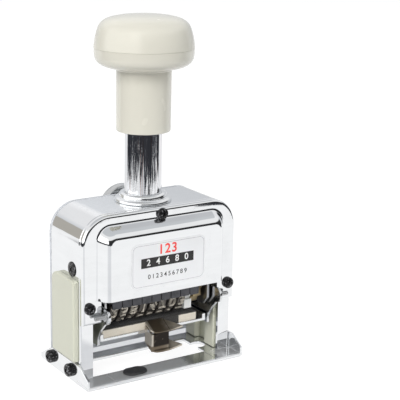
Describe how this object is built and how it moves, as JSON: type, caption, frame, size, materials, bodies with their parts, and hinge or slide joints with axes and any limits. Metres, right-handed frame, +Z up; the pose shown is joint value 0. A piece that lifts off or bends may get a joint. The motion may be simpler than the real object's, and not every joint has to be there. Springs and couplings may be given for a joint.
{
  "type": "numbering machine",
  "caption": "Hand numbering machine: a press knob drives a carriage of number wheels down through an arched case over a print window while its ink tray swings forward.",
  "frame": {"origin": "centre of the footprint, on the face that rests on the paper", "axes": "+Z up along the press stroke, -Y towards the user, +X to the user's right"},
  "size_m": [0.0726, 0.0379, 0.132],
  "materials": {
    "case_chrome": "polished",
    "tube_chrome": "polished, fine streaks along its length",
    "knob_plastic": "satin cream",
    "guide_plastic": "moulded cream",
    "black_screw": "black oxide",
    "label_plate": "printed plate",
    "dark_spring_steel": "blued spring steel",
    "wheel_metal": "satin, ink in the hollows",
    "brass": "satin",
    "white_nylon": "moulded",
    "felt": "wool felt",
    "tray_steel": "bright, folded sheet",
    "clip_metal": "warm nickel",
    "frame_steel": "bright nickel",
    "steel": "turned",
    "spring_wire": "drawn wire",
    "sight_rubber": "moulded",
    "dial_metal": "smooth turned edge"
  },
  "bodies": {
    "case": {"base_plate": "case_chrome", "base_screws": "black_screw", "sight_pad": "sight_rubber", "case_band": "case_chrome", "front_cover": "case_chrome", "cover_screws": "black_screw", "name_label": "label_plate", "rear_cover": "case_chrome", "rear_screws": "black_screw", "guide_left": "guide_plastic", "guide_right": "guide_plastic", "guide_screws": "black_screw", "guide_tube": "tube_chrome", "tube_collar": "tube_chrome", "tube_nut": "steel", "tube_bush": "brass", "return_spring": "spring_wire", "dial_post": "steel", "dial_pointer": "black_screw", "lock_bush": "steel", "lock_spring": "spring_wire"},
    "plunger": {"knob_body": "knob_plastic", "knob_cap": "knob_plastic", "knob_nut": "steel", "plunger_rod": "steel", "spring_seat": "steel", "carriage_bridge": "frame_steel", "rod_nut": "steel", "bridge_screws": "steel", "carriage_cheek_left": "frame_steel", "carriage_cheek_right": "frame_steel", "slide_shoe_left": "steel", "slide_shoe_right": "steel", "pivot_pins": "steel", "wheel_shaft": "steel", "shaft_clips": "steel", "detent_bar": "steel", "cheek_studs": "steel", "end_spacer": "white_nylon"},
    "detents": {"detent_pawls": "dark_spring_steel"},
    "wheel_1": {"number_wheel_1": "wheel_metal"},
    "wheel_2": {"number_wheel_2": "wheel_metal"},
    "wheel_3": {"number_wheel_3": "wheel_metal"},
    "wheel_4": {"number_wheel_4": "wheel_metal"},
    "wheel_5": {"number_wheel_5": "wheel_metal"},
    "wheel_6": {"number_wheel_6": "wheel_metal"},
    "wheel_7": {"number_wheel_7": "wheel_metal"},
    "wheel_8": {"number_wheel_8": "wheel_metal"},
    "feed_drive": {"drive_yoke": "frame_steel", "feed_fingers": "dark_spring_steel", "drive_ratchet": "brass"},
    "ink_arms": {"ink_frame": "frame_steel", "frame_studs": "steel"},
    "ink_cartridge": {"ink_tray": "tray_steel", "ink_felt": "felt", "clip_lower": "clip_metal", "clip_pin": "steel"},
    "clip_leaf": {"clip_upper": "clip_metal"},
    "dial": {"repeat_dial": "dial_metal"},
    "lock": {"lock_button": "dial_metal"}
  },
  "joints": [
    {"name": "plunger_slide", "type": "slide", "parent": "case", "child": "plunger", "axis": [0, 0, -1], "range_m": [0, 0.0185], "stiffness_N_per_m": 500, "springref_m": -0.02, "deforming": ["return_spring"]},
    {"name": "wheel_1_spin", "type": "hinge", "parent": "plunger", "child": "wheel_1", "pos_m": [0, -0.0025, 0.0285], "axis": [1, 0, 0], "continuous": true},
    {"name": "wheel_2_spin", "type": "hinge", "parent": "plunger", "child": "wheel_2", "pos_m": [0, -0.0025, 0.0285], "axis": [1, 0, 0], "continuous": true},
    {"name": "wheel_3_spin", "type": "hinge", "parent": "plunger", "child": "wheel_3", "pos_m": [0, -0.0025, 0.0285], "axis": [1, 0, 0], "continuous": true},
    {"name": "wheel_4_spin", "type": "hinge", "parent": "plunger", "child": "wheel_4", "pos_m": [0, -0.0025, 0.0285], "axis": [1, 0, 0], "continuous": true},
    {"name": "wheel_5_spin", "type": "hinge", "parent": "plunger", "child": "wheel_5", "pos_m": [0, -0.0025, 0.0285], "axis": [1, 0, 0], "continuous": true},
    {"name": "wheel_6_spin", "type": "hinge", "parent": "plunger", "child": "wheel_6", "pos_m": [0, -0.0025, 0.0285], "axis": [1, 0, 0], "continuous": true},
    {"name": "wheel_7_spin", "type": "hinge", "parent": "plunger", "child": "wheel_7", "pos_m": [0, -0.0025, 0.0285], "axis": [1, 0, 0], "continuous": true},
    {"name": "wheel_8_spin", "type": "hinge", "parent": "plunger", "child": "wheel_8", "pos_m": [0, -0.0025, 0.0285], "axis": [1, 0, 0], "continuous": true},
    {"name": "detent_lift", "type": "hinge", "parent": "plunger", "child": "detents", "pos_m": [0, -0.0117, 0.0416], "axis": [1, 0, 0], "range_deg": [-4, 0], "stiffness_Nm_per_rad": 0.02, "springref_deg": 17.19},
    {"name": "drive_swing", "type": "hinge", "parent": "plunger", "child": "feed_drive", "pos_m": [0, -0.0025, 0.0285], "axis": [1, 0, 0], "range_deg": [-36.1, 0]},
    {"name": "ink_swing", "type": "hinge", "parent": "plunger", "child": "ink_arms", "pos_m": [0, -0.0025, 0.045], "axis": [1, 0, 0], "range_deg": [-64.1, 0]},
    {"name": "tray_pull", "type": "slide", "parent": "ink_arms", "child": "ink_cartridge", "axis": [0, -1, 0], "range_m": [0, 0.014]},
    {"name": "clip_squeeze", "type": "hinge", "parent": "ink_cartridge", "child": "clip_leaf", "pos_m": [0, -0.0112, 0.0152], "axis": [1, 0, 0], "range_deg": [0, 8], "stiffness_Nm_per_rad": 0.05, "springref_deg": -11.46},
    {"name": "dial_turn", "type": "hinge", "parent": "case", "child": "dial", "pos_m": [0, 0.015, 0.0563], "axis": [0, 1, 0], "continuous": true},
    {"name": "lock_push", "type": "slide", "parent": "case", "child": "lock", "axis": [0, -1, 0], "range_m": [0, 0.0018], "stiffness_N_per_m": 400, "springref_m": -0.002, "deforming": ["lock_spring"]}
  ],
  "couplings": [
    {"joint": "drive_swing", "follows": "plunger_slide", "rad_per_m": -33.963},
    {"joint": "ink_swing", "follows": "plunger_slide", "rad_per_m": -60.379}
  ]
}
